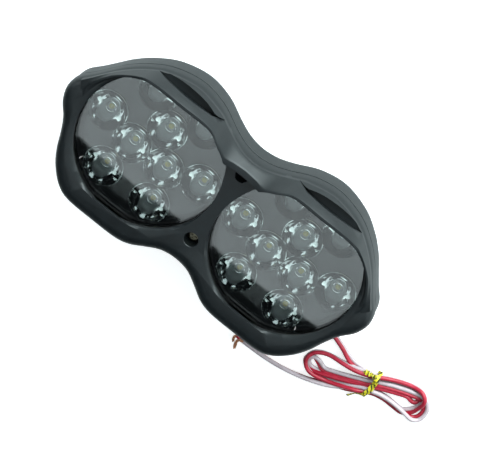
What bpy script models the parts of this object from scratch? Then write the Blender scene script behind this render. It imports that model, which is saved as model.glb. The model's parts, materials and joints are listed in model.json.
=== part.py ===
"""Twin-chamber LED driving lamp for a motorcycle, lying on its back, with its tied supply lead.

Lengths are in millimetres and are scaled by MM when a mesh is made.  Lamp pieces are drawn in the lamp's
own frame: X along the lamp, Y towards the visors, Z out of the windows, with Z = 0 at the lens faces and
the origin midway between the two windows.  Cord pieces are drawn with Z = 0 on the surface underneath.
"""

import math

import bmesh
import bpy
from mathutils import Matrix, Vector

MM = 0.001
GAP = 0.3                       # clearance kept between neighbouring solids
WELD = 2e-6                     # corners nearer than this, in metres, are one after a Boolean

# Placing the lamp over the origin
LENS_HEIGHT = 30.0              # lens faces above the surface that the lamp lies on
CENTRE_SHIFT = 3.077            # window centres ahead of the middle of the lamp's length-wise box

# Windows and optics
CHAMBER_X = 41.85               # window centres each side of the middle
LENS_PITCH = 20.0
LENS_RADIUS = 10.6              # neighbours run into each other a little, as moulded
LENS_TIP_RADIUS = 3.5
LENS_TIP_Z = -9.9
CARRIER_RADIUS = 37.6
CARRIER_Z = (-1.6, -0.7)
HOLDER_RADIUS = 38.0
HOLDER_WALL = 1.0
HOLDER_PLATE_Z = (-7.4, -6.2)
HOLDER_WALL_BOTTOM = -11.2
HOLDER_HOLE_RADIUS = 7.4
LED_SIZE = 4.6
LED_Z = (-11.3, -10.3)
BOARD_RADIUS = 37.5
BOARD_Z = (-13.2, -11.6)
HEAT_PLATE_Z = (-14.7, -13.5)
BOARD_SCREW_PLACE = (28.6, 16.5)

COVER_RADIUS = 39.9
COVER_THICKNESS = 1.7
COVER_EDGE_Z = 5.9              # top face at the rim
COVER_RISE = 1.4                # how far the middle stands above the rim
GASKET_RADII = (38.9, 39.9)
GASKET_Z = (6.3, 6.8)

# Bezel
SEAM_Z = -1.0
RIM_Z = 8.8
FLANGE_Z = 7.1
POCKET_RADIUS = 40.3
WINDOW_RADIUS = 38.8
WINDOW_TOP_Y = 35.2
VISOR_ROOT_Z = 5.0
VISOR_LIP = 1.3
BROW_X = (28.5, 56.5)
BROW_Z = (8.1, 15.2)
BROW_FACE_Y = 39.1
CENTRE_SCREW_Y = -22.0
CENTRE_HOLE_RADIUS = 3.7
CENTRE_SEAT_Z = 0.6
SLOT_Y = (18.2, 21.4)

# Rear housing
HOUSING_TOP_Z = -1.6
HOUSING_BACK_Z = -17.0
HOUSING_WALL = 2.8
FLOOR_Z = -15.0
BOWL_RADII = (29.0, 26.0)
BOWL_WALL = 2.2
BOWL_FLOOR_Z = -28.0
BACK_Z = -LENS_HEIGHT
BODY_GASKET_INSET = (0.9, 1.7)
BODY_GASKET_Z = (-2.8, -1.3)
REAR_SCREWS = ((86.3, -1.5), (66.0, -37.5))
SCREW_SHANK_RADIUS = 1.45
SCREW_HOLE_RADIUS = 1.8

# Mounting stay, on a cross bolt under the lug
PIVOT_Y = 16.0
PIVOT_Z = -23.5
LUG_HALF = 7.0
STAY_HALF_WIDTH = 5.5
STAY_SHEET = 2.0
STAY_REACH = 36.0
BOLT_RADIUS = 2.5
BOLT_HOLE_RADIUS = 2.8
HEX_RADIUS = 4.6
FOOT_SLOT = (9.0, 6.5)          # length and width

# Supply lead
CORE_RADIUS = 1.1
LEAD_RADIUS = CORE_RADIUS * math.sqrt(2.0)      # round bar of the same section as the two cores
GLAND_ANGLE = math.radians(-36.0)
GLAND_Z = -24.0
HANK_CENTRE = (116.5, -41.2)
HANK_ANGLE = math.radians(17.0)
HANK_Z = (1.5, 7.6)
TIE_THICKNESS = 0.9
TIE_WIDTH = 3.0

# Right half of the lamp's outline, from the middle of the lower edge round to the middle of the upper one
OUTLINE = ((0.0, -37.3), (8.0, -38.6), (15.0, -42.6), (22.0, -47.0), (30.0, -49.2), (45.0, -49.5),
           (60.0, -49.0), (68.0, -45.6), (75.0, -38.4), (79.5, -30.5), (82.5, -22.5), (86.0, -15.0),
           (91.0, -8.0), (93.2, -0.5), (91.5, 6.0), (86.5, 12.0), (81.5, 18.5), (76.0, 25.5),
           (68.0, 33.0), (57.0, 39.8), (42.0, 43.4), (28.0, 41.0), (16.0, 35.0), (8.0, 31.8),
           (0.0, 30.7))
OUTLINE_STEPS = 32              # along the right half

# Crease round the right window, anticlockwise from the web
CREASE = ((3.0, -2.0), (3.7, -10.0), (6.2, -19.0), (10.5, -26.5), (16.0, -32.3), (23.0, -36.3),
          (31.0, -37.7), (45.0, -38.0), (59.0, -37.6), (65.0, -36.3), (70.5, -33.8), (75.5, -30.0),
          (79.0, -26.0), (81.5, -21.0), (83.2, -15.0), (84.2, -8.0), (84.4, 0.0), (83.4, 8.5),
          (80.6, 15.8), (75.0, 23.8), (66.5, 31.2), (58.5, 34.7), (42.0, 35.2), (25.5, 34.7),
          (18.0, 30.0), (12.0, 25.0), (8.0, 19.0), (4.9, 11.0), (3.3, 4.0))

# Visor, from the right ear to the middle: foot on the outline, then the lip's place and height
VISOR = ((89.0, 8.5, 84.6, 1.5, 8.6), (86.0, 12.2, 83.4, 8.5, 9.6), (81.0, 18.8, 80.6, 15.8, 11.0),
         (75.5, 25.6, 75.0, 23.8, 13.5), (67.5, 33.0, 66.5, 31.2, 17.5), (57.5, 39.2, 58.5, 34.7, 21.0),
         (42.0, 43.0, 42.0, 35.2, 22.0), (27.5, 40.5, 25.5, 34.7, 21.2), (19.5, 36.8, 18.0, 30.0, 19.5),
         (12.5, 33.3, 12.0, 25.6, 16.5), (6.0, 31.0, 6.0, 25.2, 14.2), (0.0, 30.3, 0.0, 25.4, 13.5))
VISOR_STEPS = 2                 # sections between two listed ones

# Free lead: route from the gland to the hank, and from the hank to the stripped ends
LEAD_OUT = ((68.8, -19.6, 6.0), (72.5, -22.3, 5.6), (77.0, -25.5, 4.6), (82.0, -28.9, 3.2),
            (86.5, -31.6, 2.4), (91.0, -33.2, 2.15), (95.0, -34.6, 2.15), (99.0, -36.3, 2.1),
            (103.0, -37.6, 1.9))
LEAD_TAIL = ((107.0, -52.9, 1.7), (100.0, -56.7, 2.1), (92.0, -60.7, 2.15), (84.0, -63.5, 2.15),
             (75.0, -65.6, 2.15), (65.0, -66.8, 2.15), (54.0, -67.2, 2.15))
BARE_RED = ((52.4, -66.9, 1.9), (50.2, -67.6, 1.6), (49.0, -69.4, 1.1), (50.6, -71.6, 0.9))
BARE_WHITE = ((52.6, -69.2, 1.5), (51.6, -70.4, 1.2), (51.9, -72.6, 0.9), (53.2, -75.2, 0.8))
BARE_RADIUS = 0.55


# ---------------------------------------------------------------- curves and outlines

def spline_point(a, b, c, d, t):
    """Catmull-Rom point between b and c."""
    return 0.5 * ((2 * b) + (c - a) * t + (2 * a - 5 * b + 4 * c - d) * t * t
                  + (3 * b - a - 3 * c + d) * t ** 3)


def through(points, steps, closed=False):
    """A smooth line through the points, with the given steps between two of them."""
    places = [Vector(p) for p in points]
    count = len(places)
    line = []
    for i in range(count if closed else count - 1):
        if closed:
            near = [places[(i + k) % count] for k in (-1, 0, 1, 2)]
        else:
            first = places[0] * 2 - places[1]
            last = places[-1] * 2 - places[-2]
            near = [([first] + places + [last])[i + k] for k in range(4)]
        line += [spline_point(*near, s / steps) for s in range(steps)]
    if not closed:
        line.append(places[-1])
    return line


def evenly(line, count):
    """The line resampled to the given number of equal steps."""
    lengths = [0.0]
    for a, b in zip(line, line[1:]):
        lengths.append(lengths[-1] + (b - a).length)
    places = []
    k = 0
    for i in range(count + 1):
        target = lengths[-1] * i / count
        while k < len(line) - 2 and lengths[k + 1] < target:
            k += 1
        t = (target - lengths[k]) / (lengths[k + 1] - lengths[k])
        places.append(line[k].lerp(line[k + 1], min(max(t, 0.0), 1.0)))
    return places


def lamp_outline():
    """The whole outline, anticlockwise, symmetric about X = 0."""
    mirrored = [(-x, y) for x, y in OUTLINE]
    whole = through([mirrored[1]] + list(OUTLINE) + [mirrored[-2]], 12)
    half = evenly(whole[12:-12], OUTLINE_STEPS)
    half[0].x = 0.0
    half[-1].x = 0.0
    return half + [Vector((-p.x, p.y)) for p in reversed(half[1:-1])]


def inset(loop, distance):
    """The closed loop moved inwards; the loop runs anticlockwise."""
    count = len(loop)
    moved = []
    for i, place in enumerate(loop):
        along = (loop[(i + 1) % count] - loop[i - 1]).normalized()
        moved.append(Vector((place.x - along.y * distance, place.y + along.x * distance)))
    return moved


def circle(radius, count, centre=(0.0, 0.0)):
    steps = [2 * math.pi * i / count for i in range(count)]
    return [Vector((centre[0] + radius * math.cos(a), centre[1] + radius * math.sin(a))) for a in steps]


def at_height(loop, z):
    return [Vector((p.x, p.y, z)) for p in loop]


def lens_places():
    """Centres of the nine lenses about the window's centre: three inside, six round them."""
    inner = LENS_PITCH / math.sqrt(3.0)
    outer = LENS_PITCH / (2.0 * math.sin(math.radians(15.0))) * 0.748
    places = [(inner * math.cos(math.radians(a)), inner * math.sin(math.radians(a))) for a in (90, 210, 330)]
    for a in range(0, 360, 60):
        places.append((outer * math.cos(math.radians(a)), outer * math.sin(math.radians(a))))
    return places


# ---------------------------------------------------------------- meshes

def new_object(name, verts, faces, smooth=False):
    bm = bmesh.new()
    made = [bm.verts.new(Vector(v) * MM) for v in verts]
    for face in faces:
        bm.faces.new([made[i] for i in face])
    bmesh.ops.recalc_face_normals(bm, faces=bm.faces)
    mesh = bpy.data.meshes.new(name)
    bm.to_mesh(mesh)
    bm.free()
    if smooth:
        mesh.shade_smooth()
        mesh.set_sharp_from_angle(angle=math.radians(35.0))
    obj = bpy.data.objects.new(name, mesh)
    bpy.context.collection.objects.link(obj)
    return obj


def loft(name, rings, smooth=True):
    """A closed solid through rings of equal size, capped at both ends."""
    size = len(rings[0])
    verts = [p for ring in rings for p in ring]
    faces = []
    for r in range(len(rings) - 1):
        for i in range(size):
            j = (i + 1) % size
            faces.append((r * size + i, r * size + j, (r + 1) * size + j, (r + 1) * size + i))
    faces.append(tuple(range(size)))
    faces.append(tuple((len(rings) - 1) * size + i for i in range(size)))
    return new_object(name, verts, faces, smooth)


def prism(name, loop, low, high, smooth=True):
    return loft(name, [at_height(loop, low), at_height(loop, high)], smooth)


def turned(name, profile, count=32, centre=(0.0, 0.0)):
    """A solid turned about a vertical axis; profile holds (radius, z).

    A profile that starts and ends away from the axis closes on itself.  A zero radius is a pole, and a flat
    end beside a zero radius becomes one face.
    """
    verts = []
    rows = []
    caps = []
    places = list(profile)
    if places[0][0] == 0.0 and places[0][1] == places[1][1]:
        places.pop(0)
        caps.append(0)
    if places[-1][0] == 0.0 and places[-1][1] == places[-2][1]:
        places.pop()
        caps.append(-1)
    for radius, z in places:
        if radius == 0.0:
            rows.append([len(verts)] * count)
            verts.append((centre[0], centre[1], z))
        else:
            rows.append(list(range(len(verts), len(verts) + count)))
            verts += [(p.x, p.y, z) for p in circle(radius, count, centre)]
    pairs = list(zip(rows, rows[1:]))
    if profile[0][0] > 0.0:
        pairs.append((rows[-1], rows[0]))
    faces = [tuple(rows[end]) for end in caps]
    for low, high in pairs:
        for i in range(count):
            j = (i + 1) % count
            corners = []
            for k in (low[i], low[j], high[j], high[i]):
                if k not in corners:
                    corners.append(k)
            if len(corners) > 2:
                faces.append(tuple(corners))
    return new_object(name, verts, faces, True)


def cylinder(name, radius, low, high, count=24, centre=(0.0, 0.0)):
    return prism(name, circle(radius, count, centre), low, high)


def box(name, low, high):
    x, y, z = zip(low, high)
    loop = [Vector((x[0], y[0])), Vector((x[1], y[0])), Vector((x[1], y[1])), Vector((x[0], y[1]))]
    return prism(name, loop, z[0], z[1], False)


def combine(target, tools, operation):
    """Cuts each tool from the target, or joins it on, and removes the tool."""
    for tool in tools:
        modifier = target.modifiers.new("combine", "BOOLEAN")
        modifier.operation = operation
        modifier.solver = "EXACT"
        modifier.object = tool
        graph = bpy.context.evaluated_depsgraph_get()
        mesh = bpy.data.meshes.new_from_object(target.evaluated_get(graph))
        target.modifiers.clear()
        bm = bmesh.new()
        bm.from_mesh(mesh)
        bmesh.ops.remove_doubles(bm, verts=bm.verts, dist=WELD)
        bmesh.ops.dissolve_degenerate(bm, edges=bm.edges, dist=WELD)
        bm.to_mesh(mesh)
        bm.free()
        old = target.data
        target.data = mesh
        mesh.name = target.name
        bpy.data.meshes.remove(old)
        bpy.data.meshes.remove(tool.data)
    return target


def cut(target, *tools):
    return combine(target, tools, "DIFFERENCE")


def join(target, *tools):
    return combine(target, tools, "UNION")


def turn_to_x(obj, centre):
    """Turns a piece made along Z so that it lies along X, through the given point."""
    turn = Matrix.Translation(Vector(centre) * MM) @ Matrix.Rotation(math.pi / 2, 4, "Y")
    obj.data.transform(turn)
    return obj


def move_origin(obj, place):
    """Puts the object's origin at the given place without moving its mesh."""
    obj.data.transform(Matrix.Translation(Vector(place) * -MM))
    obj.location = Vector(place) * MM


def material(name, colour, roughness, metallic=0.0, alpha=1.0):
    made = bpy.data.materials.new(name)
    made.use_nodes = True
    shader = made.node_tree.nodes["Principled BSDF"]
    shader.inputs["Base Color"].default_value = (*colour, 1.0)
    shader.inputs["Roughness"].default_value = roughness
    shader.inputs["Metallic"].default_value = metallic
    shader.inputs["Alpha"].default_value = alpha
    return made


# ---------------------------------------------------------------- bezel and rear housing

def visor_solid():
    """One arched wall over both windows; each section runs foot, back, lip and inner face."""
    stations = through([Vector(s) for s in VISOR], VISOR_STEPS)
    stations += [Vector((-s[0], s[1], -s[2], s[3], s[4])) for s in reversed(stations[:-1])]
    rings = []
    for foot_x, foot_y, lip_x, lip_y, lip_z in stations:
        foot = Vector((foot_x, foot_y))
        lip = Vector((lip_x, lip_y))
        outward = (foot - lip).normalized()
        crest = lip + outward * min(VISOR_LIP, (foot - lip).length * 0.6)
        shoulder = foot.lerp(crest, 0.08)
        inner = lip - outward * 1.5
        section = ((foot - outward * 0.4, VISOR_ROOT_Z), (foot - outward * 0.2, RIM_Z - 1.2),
                   (shoulder, RIM_Z + 0.3), (foot.lerp(crest, 0.55), RIM_Z + (lip_z - RIM_Z) * 0.55),
                   (crest, lip_z), (inner, lip_z), (inner, VISOR_ROOT_Z))
        rings.append([Vector((p.x, p.y, z)) for p, z in section])
    return loft("visor", rings)


def window_cutter(side):
    """Opening of one window: round below the crease, and the crease's own shape above it."""
    crease = [Vector(p) for p in CREASE]
    round_edge = []
    for p in crease:
        away = Vector((p.x - CHAMBER_X, p.y))
        place = away.normalized() * WINDOW_RADIUS
        if place.y > WINDOW_TOP_Y:
            place *= WINDOW_TOP_Y / place.y
        if place.length > away.length - 0.2:
            place = away * ((away.length - 0.2) / away.length)
        round_edge.append(Vector((place.x + CHAMBER_X, place.y)))
    rings = [at_height(round_edge, FLANGE_Z - 2.0), at_height(round_edge, FLANGE_Z + 0.7),
             at_height(crease, RIM_Z + 0.6), at_height(crease, RIM_Z + 30.0)]
    if side < 0:
        rings = [[Vector((-p.x, p.y, p.z)) for p in reversed(ring)] for ring in rings]
    return loft("window", rings)


def brow_cutter(side):
    """Arched pocket at the root of one visor."""
    low, high = BROW_X
    middle = (low + high) / 2
    half = (high - low) / 2
    front = []
    for i in range(13):
        x = low + (high - low) * i / 12
        front.append(Vector((x, BROW_FACE_Y - 1.6 * ((x - middle) / half) ** 2)))
    loop = [Vector((low - 3.0, 50.0))] + front + [Vector((high + 3.0, 50.0))]
    if side < 0:
        loop = [Vector((-p.x, p.y)) for p in reversed(loop)]
    return prism("brow", loop, *BROW_Z)


def centre_slot():
    low, high = SLOT_Y
    loop = [Vector((-2.2, low + 0.5)), Vector((-0.8, low)), Vector((0.8, low)), Vector((2.2, low + 0.5)),
            Vector((3.7, high)), Vector((-3.7, high))]
    return prism("slot", loop, 2.0, RIM_Z + 4.0, False)


def screw_places():
    return [(side * x, y) for side in (1, -1) for x, y in REAR_SCREWS]


def front_bezel(outline):
    rings = [at_height(inset(outline, d), z) for d, z in
             ((0.3, SEAM_Z), (0.0, SEAM_Z + 0.5), (0.2, RIM_Z - 2.6), (0.8, RIM_Z - 1.0), (2.4, RIM_Z))]
    body = loft("front_bezel", rings)
    join(body, visor_solid())
    for side in (1, -1):
        centre = (side * CHAMBER_X, 0.0)
        cut(body, window_cutter(side))
        cut(body, cylinder("pocket", POCKET_RADIUS, SEAM_Z - 1.0, FLANGE_Z, 40, centre))
        cut(body, brow_cutter(side))
    hole = (0.0, CENTRE_SCREW_Y)
    cut(body, cylinder("hole", CENTRE_HOLE_RADIUS, CENTRE_SEAT_Z, RIM_Z + 4.0, 24, hole),
        cylinder("hole", SCREW_HOLE_RADIUS, SEAM_Z - 1.0, CENTRE_SEAT_Z + 1.0, 12, hole),
        centre_slot())
    for place in screw_places():
        cut(body, cylinder("pilot", SCREW_HOLE_RADIUS, SEAM_Z - 1.0, 5.2, 12, place))
    return body


def bowl(radii, top, bottom, centre, name="bowl"):
    profile = ((0.0, bottom), (radii[1] - 1.0, bottom), (radii[1], bottom + 1.0), (radii[0], top), (0.0, top))
    return turned(name, profile, 28, centre)


def lug():
    """Moulded lug that the cross bolt passes through."""
    half = STAY_HALF_WIDTH
    loop = [Vector((-HOUSING_BACK_Z - 1.0, PIVOT_Y - half - 0.6)), Vector((-PIVOT_Z, PIVOT_Y - half + 0.3))]
    for i in range(1, 8):
        angle = math.pi * (i / 8 - 0.5)
        loop.append(Vector((-PIVOT_Z + (half - 0.3) * math.cos(angle),
                            PIVOT_Y + (half - 0.3) * math.sin(angle))))
    loop += [Vector((-PIVOT_Z, PIVOT_Y + half - 0.3)), Vector((-HOUSING_BACK_Z - 1.0, PIVOT_Y + half + 0.6))]
    return turn_to_x(prism("lug", loop, -LUG_HALF, LUG_HALF), (0, 0, 0))


def cross_hole(radius, half_length):
    piece = cylinder("cross_hole", radius, -half_length, half_length, 20)
    return turn_to_x(piece, (0.0, PIVOT_Y, PIVOT_Z))


def gland_direction():
    return Vector((math.cos(GLAND_ANGLE), math.sin(GLAND_ANGLE), 0.0))


def along_gland(obj):
    """Lays a piece made along Z from the right window's axis out through the bowl's side."""
    turn = Matrix.Translation(Vector((CHAMBER_X, 0.0, GLAND_Z)) * MM)
    turn = turn @ Matrix.Rotation(GLAND_ANGLE, 4, "Z") @ Matrix.Rotation(math.pi / 2, 4, "Y")
    obj.data.transform(turn)
    return obj


def rear_housing(outline):
    rings = [at_height(inset(outline, d), z) for d, z in
             ((4.6, HOUSING_BACK_Z), (2.3, HOUSING_BACK_Z + 0.9), (0.9, HOUSING_BACK_Z + 2.8),
              (0.4, HOUSING_BACK_Z + 5.0), (0.3, HOUSING_TOP_Z))]
    body = loft("rear_housing", rings)
    centres = [(side * CHAMBER_X, 0.0) for side in (1, -1)]
    for centre in centres:
        join(body, bowl(BOWL_RADII, HOUSING_BACK_Z + 1.0, BACK_Z, centre))
    join(body, lug())
    cavity = [at_height(inset(outline, d), z) for d, z in
              ((HOUSING_WALL + 0.6, FLOOR_Z), (HOUSING_WALL, FLOOR_Z + 0.8), (HOUSING_WALL, HOUSING_TOP_Z + 1.0))]
    cut(body, loft("cavity", cavity))
    for centre in centres:
        radii = (BOWL_RADII[0] - BOWL_WALL, BOWL_RADII[1] - BOWL_WALL)
        cut(body, bowl(radii, FLOOR_Z + 0.5, BOWL_FLOOR_Z, centre))
    groove_inner = inset(outline, BODY_GASKET_INSET[1] + GAP)
    groove_outer = inset(outline, BODY_GASKET_INSET[0] - GAP)
    groove = ring_prism("groove", groove_outer, groove_inner, BODY_GASKET_Z[0] - GAP, HOUSING_TOP_Z + 1.0)
    bosses = [cylinder("boss", 3.3, HOUSING_BACK_Z + 1.0, HOUSING_TOP_Z - 1.9, 12, place)
              for place in screw_places() + [(0.0, CENTRE_SCREW_Y)]]
    join(body, *bosses)
    cut(body, groove)
    for x, y in screw_places():
        cut(body, cylinder("bore", SCREW_HOLE_RADIUS, HOUSING_BACK_Z - 1.0, 0.0, 12, (x, y)),
            cylinder("counterbore", 3.1, HOUSING_BACK_Z - 1.0, HOUSING_BACK_Z + 3.0, 16, (x, y)))
    cut(body, cylinder("bore", SCREW_HOLE_RADIUS, -14.2, 0.0, 12, (0.0, CENTRE_SCREW_Y)),
        cross_hole(BOLT_HOLE_RADIUS, LUG_HALF + 2.0),
        along_gland(cylinder("gland_hole", 2.9, 20.0, 32.0, 20)))
    posts = [cylinder("post", 2.2, BOWL_FLOOR_Z - 1.0, -24.3, 12, place)
             for place in ((29.0, 9.0), (49.0, 9.0), (29.0, -4.0), (49.0, -4.0))]
    join(body, *posts)
    return body


def ring_prism(name, outer, inner, low, high):
    """A closed ring between two loops of equal size."""
    size = len(outer)
    rings = [at_height(outer, low), at_height(outer, high), at_height(inner, high), at_height(inner, low)]
    verts = [p for ring in rings for p in ring]
    faces = []
    for r in range(4):
        nxt = (r + 1) % 4
        for i in range(size):
            j = (i + 1) % size
            faces.append((r * size + i, r * size + j, nxt * size + j, nxt * size + i))
    return new_object(name, verts, faces, True)


def body_gasket(outline):
    outer = inset(outline, BODY_GASKET_INSET[0])
    inner = inset(outline, BODY_GASKET_INSET[1])
    return ring_prism("body_gasket", outer, inner, *BODY_GASKET_Z)


# ---------------------------------------------------------------- what one chamber holds

def clear_cover(name, centre):
    """Slightly domed round window."""
    top = []
    bottom = []
    for share in (0.0, 0.5, 1.0):
        radius = COVER_RADIUS * share
        rise = COVER_RISE * (1.0 - share * share)
        top.append((radius, COVER_EDGE_Z + rise))
        bottom.append((radius, COVER_EDGE_Z - COVER_THICKNESS + rise))
    return turned(name, bottom + list(reversed(top)), 36, centre)


def cover_gasket(name, centre):
    inner, outer = GASKET_RADII
    low, high = GASKET_Z
    return turned(name, ((inner, low), (outer, low), (outer, high), (inner, high)), 36, centre)


def lens_array(name, centre):
    """Nine collimator lenses on one carrier plate, moulded in one piece."""
    body = cylinder(name, CARRIER_RADIUS, *CARRIER_Z, 36, centre)
    for x, y in lens_places():
        place = (centre[0] + x, centre[1] + y)
        profile = ((0.0, LENS_TIP_Z), (LENS_TIP_RADIUS, LENS_TIP_Z), (LENS_RADIUS, CARRIER_Z[0] + 0.3),
                   (LENS_RADIUS, 0.0), (0.0, 0.0))
        join(body, turned("lens", profile, 14, place))
    return body


def lens_holder(name, centre):
    """Black plate with a hole for each lens, on a ring wall that stands on the board."""
    outer = HOLDER_RADIUS
    inner = HOLDER_RADIUS - HOLDER_WALL
    low = HOLDER_WALL_BOTTOM
    plate_low, plate_high = HOLDER_PLATE_Z
    profile = ((0.0, plate_low), (inner, plate_low), (inner, low), (outer, low), (outer, plate_high),
               (0.0, plate_high))
    body = turned(name, profile, 36, centre)
    for x, y in lens_places():
        place = (centre[0] + x, centre[1] + y)
        cut(body, cylinder("hole", HOLDER_HOLE_RADIUS, plate_low - 1.0, plate_high + 1.0, 14, place))
    side = 1.0 if centre[0] > 0.0 else -1.0
    ends = sorted((side * 2.0, side * 12.0))
    cut(body, box("notch", (ends[0], 10.6, low - 1.0), (ends[1], 14.4, low + 2.6)))
    return body


def board_screw_places(centre):
    x, y = BOARD_SCREW_PLACE
    return [(centre[0] + x, centre[1] + y), (centre[0] - x, centre[1] - y)]


def round_plate(name, centre, heights):
    """Plate with its screw holes, and on the right the hole that the link lead passes."""
    body = cylinder(name, BOARD_RADIUS, *heights, 36, centre)
    for place in board_screw_places(centre):
        cut(body, cylinder("hole", 1.6, heights[0] - 1.0, heights[1] + 1.0, 12, place))
    if centre[0] > 0.0:
        cut(body, cylinder("hole", 2.6, heights[0] - 1.0, heights[1] + 1.0, 16, (19.4, 12.5)))
    return body


def led(name, place):
    half = LED_SIZE / 2
    low, high = LED_Z
    loop = [Vector(p) for p in ((-half, -half), (half, -half), (half, half), (-half, half))]
    top = [p * 0.86 for p in loop]
    rings = [at_height(loop, low), at_height(loop, low + 0.7), at_height(top, high)]
    return loft(name, [[p + Vector((*place, 0.0)) for p in ring] for ring in rings], False)


def screw(name, place, head, shank_end, radii, count=12):
    """A screw along Z: head is its two heights, seat first; a short cross slot is cut in the head."""
    seat, top = head
    head_radius, shank_radius = radii
    rise = 1.0 if top > seat else -1.0
    profile = ((0.0, shank_end), (shank_radius * 0.6, shank_end), (shank_radius, shank_end + rise * 1.2),
               (shank_radius, seat), (head_radius, seat), (head_radius, top - rise * 0.5),
               (head_radius * 0.75, top), (0.0, top))
    body = turned(name, profile, count, place)
    low, high = sorted((top - rise * 0.8, top + rise * 0.5))
    arm = head_radius * 0.55
    x, y = place
    for reach_x, reach_y in ((arm, 0.4), (0.4, arm)):
        cut(body, box("slot", (x - reach_x, y - reach_y, low), (x + reach_x, y + reach_y, high)))
    return body


# ---------------------------------------------------------------- driver, leads, stay

def driver_parts():
    board = box("driver_board", (25.0, -7.0, -24.0), (53.0, 13.0, -22.4))
    chip = box("driver_chip", (40.0, 3.0, -22.1), (45.0, 7.0, -20.5))
    inductor = turned("driver_inductor", ((0.0, -22.1), (4.2, -22.1), (4.2, -18.2), (3.4, -17.6), (0.0, -17.6)),
                      16, (34.0, 0.5))
    capacitor = turned("driver_capacitor", ((0.0, -22.1), (3.1, -22.1), (3.1, -16.2), (2.7, -15.8), (0.0, -15.8)),
                       16, (34.0, 8.8))
    return board, chip, inductor, capacitor


def tube(name, points, radius, steps=2):
    """A round lead through the points, as a curve with a bevel."""
    line = through(points, steps)
    curve = bpy.data.curves.new(name, "CURVE")
    curve.dimensions = "3D"
    curve.bevel_depth = radius * MM
    curve.bevel_resolution = 2
    curve.use_fill_caps = True
    curve.resolution_u = 1
    curve.render_resolution_u = 0
    spline = curve.splines.new("POLY")
    spline.points.add(len(line) - 1)
    for point, place in zip(spline.points, line):
        point.co = (*(place * MM), 1.0)
    obj = bpy.data.objects.new(name, curve)
    bpy.context.collection.objects.link(obj)
    return obj


def link_lead():
    return tube("link_lead", ((28.0, 7.5, -21.0), (24.0, 10.5, -20.4), (20.8, 12.2, -17.2), (19.4, 12.5, -13.4),
                              (16.6, 12.5, -10.5), (11.0, 12.5, -10.1), (0.0, 12.5, -10.1), (-14.0, 12.5, -10.1),
                              (-18.0, 12.5, -10.3)), 0.8)


def inner_lead():
    start = Vector((CHAMBER_X, 0.0, GLAND_Z)) + gland_direction() * 20.6
    return tube("inner_lead", (start, (57.0, -11.0, -23.0), (54.0, -8.4, -20.7), (50.5, -4.6, -20.3),
                               (47.5, -2.5, -20.6)), 1.2)


def cable_gland():
    profile = ((0.0, 21.3), (3.4, 21.3), (3.4, 22.6), (2.6, 22.6), (2.6, 28.7), (3.8, 28.7), (3.8, 30.0),
               (2.5, 31.0), (2.0, 33.0), (0.0, 33.0))
    return along_gland(turned("cable_gland", profile, 20))


def mounting_stay():
    """Steel U: two cheeks on the cross bolt and a slotted foot between their far ends."""
    inner = LUG_HALF + GAP
    outer = inner + STAY_SHEET
    foot = PIVOT_Y - STAY_REACH
    tip = PIVOT_Y + STAY_HALF_WIDTH
    bend = 2.4
    corner = [(outer - bend + bend * math.sin(a), foot + bend - bend * math.cos(a))
              for a in (0.0, math.pi / 6, math.pi / 3, math.pi / 2)]
    right = corner + [(outer, tip), (inner, tip), (inner, foot + STAY_SHEET)]
    loop = [Vector(p) for p in right] + [Vector((-x, y)) for x, y in reversed(right)]
    low = PIVOT_Z - STAY_HALF_WIDTH
    high = PIVOT_Z + STAY_HALF_WIDTH
    body = prism("mounting_stay", loop, low, high)
    side_view = [Vector((-high, foot - 1.0)), Vector((-low, foot - 1.0))]
    for i in range(9):
        angle = math.pi * i / 8
        side_view.append(Vector((-PIVOT_Z + STAY_HALF_WIDTH * math.cos(angle),
                                 PIVOT_Y + (STAY_HALF_WIDTH - 0.05) * math.sin(angle))))
    rounding = turn_to_x(prism("rounding", side_view, -outer - 1.0, outer + 1.0), (0, 0, 0))
    combine(body, [rounding], "INTERSECT")
    cut(body, cross_hole(BOLT_HOLE_RADIUS, outer + 1.0), foot_slot(foot))
    move_origin(body, (0.0, PIVOT_Y, PIVOT_Z))
    return body


def foot_slot(foot):
    """Slot through the stay's foot, along X."""
    length, width = FOOT_SLOT
    reach = (length - width) / 2
    loop = []
    for i in range(9):
        angle = math.pi * (i / 8 - 0.5)
        loop.append(Vector((reach + width / 2 * math.cos(angle), width / 2 * math.sin(angle))))
    loop += [Vector((-p.x, -p.y)) for p in loop]
    piece = prism("foot_slot", loop, -STAY_SHEET - 1.0, STAY_SHEET + 1.0)
    turn = Matrix.Translation(Vector((0.0, foot + STAY_SHEET / 2, PIVOT_Z)) * MM)
    piece.data.transform(turn @ Matrix.Rotation(math.pi / 2, 4, "X"))
    return piece


def hexagon(name, low, high):
    return prism(name, circle(HEX_RADIUS, 6), low, high, False)


def pivot_hardware():
    cheek = LUG_HALF + GAP + STAY_SHEET
    washer_low = cheek + GAP
    washer_high = washer_low + 1.0
    seat = washer_high + GAP
    place = (0.0, PIVOT_Y, PIVOT_Z)
    bolt = hexagon("pivot_bolt", seat, seat + 3.1)
    join(bolt, cylinder("shank", BOLT_RADIUS, -seat - 4.4, seat + 1.0, 16))
    nut = hexagon("pivot_nut", -seat - 3.6, -seat)
    cut(nut, cylinder("bore", BOLT_HOLE_RADIUS, -seat - 5.0, -seat + 1.0, 16))
    washers = []
    for name, side in (("pivot_washer_right", 1), ("pivot_washer_left", -1)):
        low, high = sorted((side * washer_low, side * washer_high))
        profile = ((BOLT_HOLE_RADIUS, low), (4.8, low), (4.8, high), (BOLT_HOLE_RADIUS, high))
        washers.append(turned(name, profile, 20))
    pieces = [bolt, nut] + washers
    for piece in pieces:
        turn_to_x(piece, place)
    return pieces


# ---------------------------------------------------------------- free lead

def hank_place(points):
    """Points given along and across the hank, as places on the surface."""
    turn = Matrix.Rotation(HANK_ANGLE, 2)
    return [turn @ Vector(p) + Vector(HANK_CENTRE) for p in points]


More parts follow.
